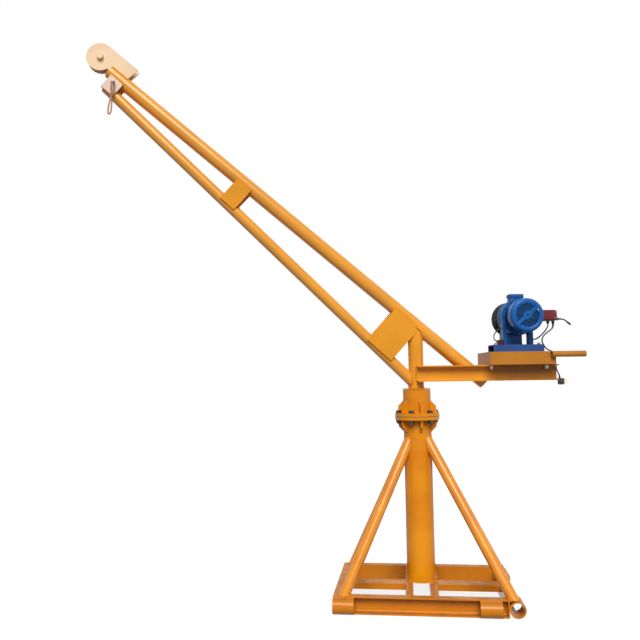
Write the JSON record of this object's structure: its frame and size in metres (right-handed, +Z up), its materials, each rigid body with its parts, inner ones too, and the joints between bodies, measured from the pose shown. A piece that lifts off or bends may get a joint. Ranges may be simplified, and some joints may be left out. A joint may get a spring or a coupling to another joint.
{
  "type": "portable mini crane",
  "caption": "Slewing mini crane: channel base with leg sleeves, braced column, bolted bearing housing, two-tube jib with head sheave and an electric winch on a rear platform.",
  "frame": {"origin": "on the ground, on the slewing axis of the column", "axes": "+Z up, the jib points along -X and the winch platform along +X, +Y towards the crane's rear side; the base is turned 11 degrees clockwise, seen from above, against the jib"},
  "size_m": [2.5126, 0.8154, 2.8183],
  "materials": {
    "orange_paint": "glossy orange enamel",
    "primer": "pale matt primer",
    "steel": "dull zinc-plated steel",
    "blue_paint": "glossy blue enamel",
    "maroon_plastic": "glossy maroon",
    "black_rubber": "matt black",
    "rope": "dark stranded wire",
    "rust": "lightly rusted steel"
  },
  "bodies": {
    "base": {"cross_beams": "orange_paint", "side_beams": "orange_paint", "rails": "orange_paint", "cross_members": "orange_paint", "sleeves": "orange_paint", "braces": "orange_paint", "column": "orange_paint", "lower_flange": "orange_paint", "upper_flange": "orange_paint", "flange_ribs": "orange_paint", "bearing_housing": "orange_paint", "bearing_bush": "steel", "flange_bolts": "steel"},
    "jib": {"spindle": "orange_paint", "mast": "orange_paint", "upper_boom_tube": "orange_paint", "lower_boom_tube": "orange_paint", "gussets": "orange_paint", "platform_channels": "orange_paint", "tray": "orange_paint", "handle": "orange_paint", "tip_plates": "primer", "head_plates": "primer", "sheave_pin": "steel", "link_pin": "steel", "tray_bolts": "steel", "drum_shaft": "steel", "winch_base": "blue_paint", "motor_legs": "blue_paint", "motor_body": "blue_paint", "fan_cover": "blue_paint", "terminal_box": "blue_paint", "gearbox": "blue_paint", "gearbox_stand": "blue_paint", "switch_box": "maroon_plastic", "cable_glands": "black_rubber", "power_cord": "black_rubber", "plug": "black_rubber", "motor_lead": "black_rubber", "control_lead": "black_rubber", "lead_connector": "black_rubber"},
    "sheave": {"sheave": "steel"},
    "drum": {"drum": "steel", "drum_rope": "rope"},
    "link": {"hanging_link": "rust"}
  },
  "joints": [
    {"name": "slew", "type": "hinge", "parent": "base", "child": "jib", "pos_m": [0, 0, 0.97], "axis": [0, 0, 1], "continuous": true},
    {"name": "sheave_spin", "type": "hinge", "parent": "jib", "child": "sheave", "pos_m": [-1.60157, 0, 2.74632], "axis": [0, 1, 0], "continuous": true},
    {"name": "drum_spin", "type": "hinge", "parent": "jib", "child": "drum", "pos_m": [0.541, 0.098, 1.388], "axis": [0, 1, 0], "continuous": true},
    {"name": "link_swing", "type": "hinge", "parent": "jib", "child": "link", "pos_m": [-1.53011, -0.052, 2.60713], "axis": [0, 1, 0], "range_deg": [-75, 75]}
  ]
}
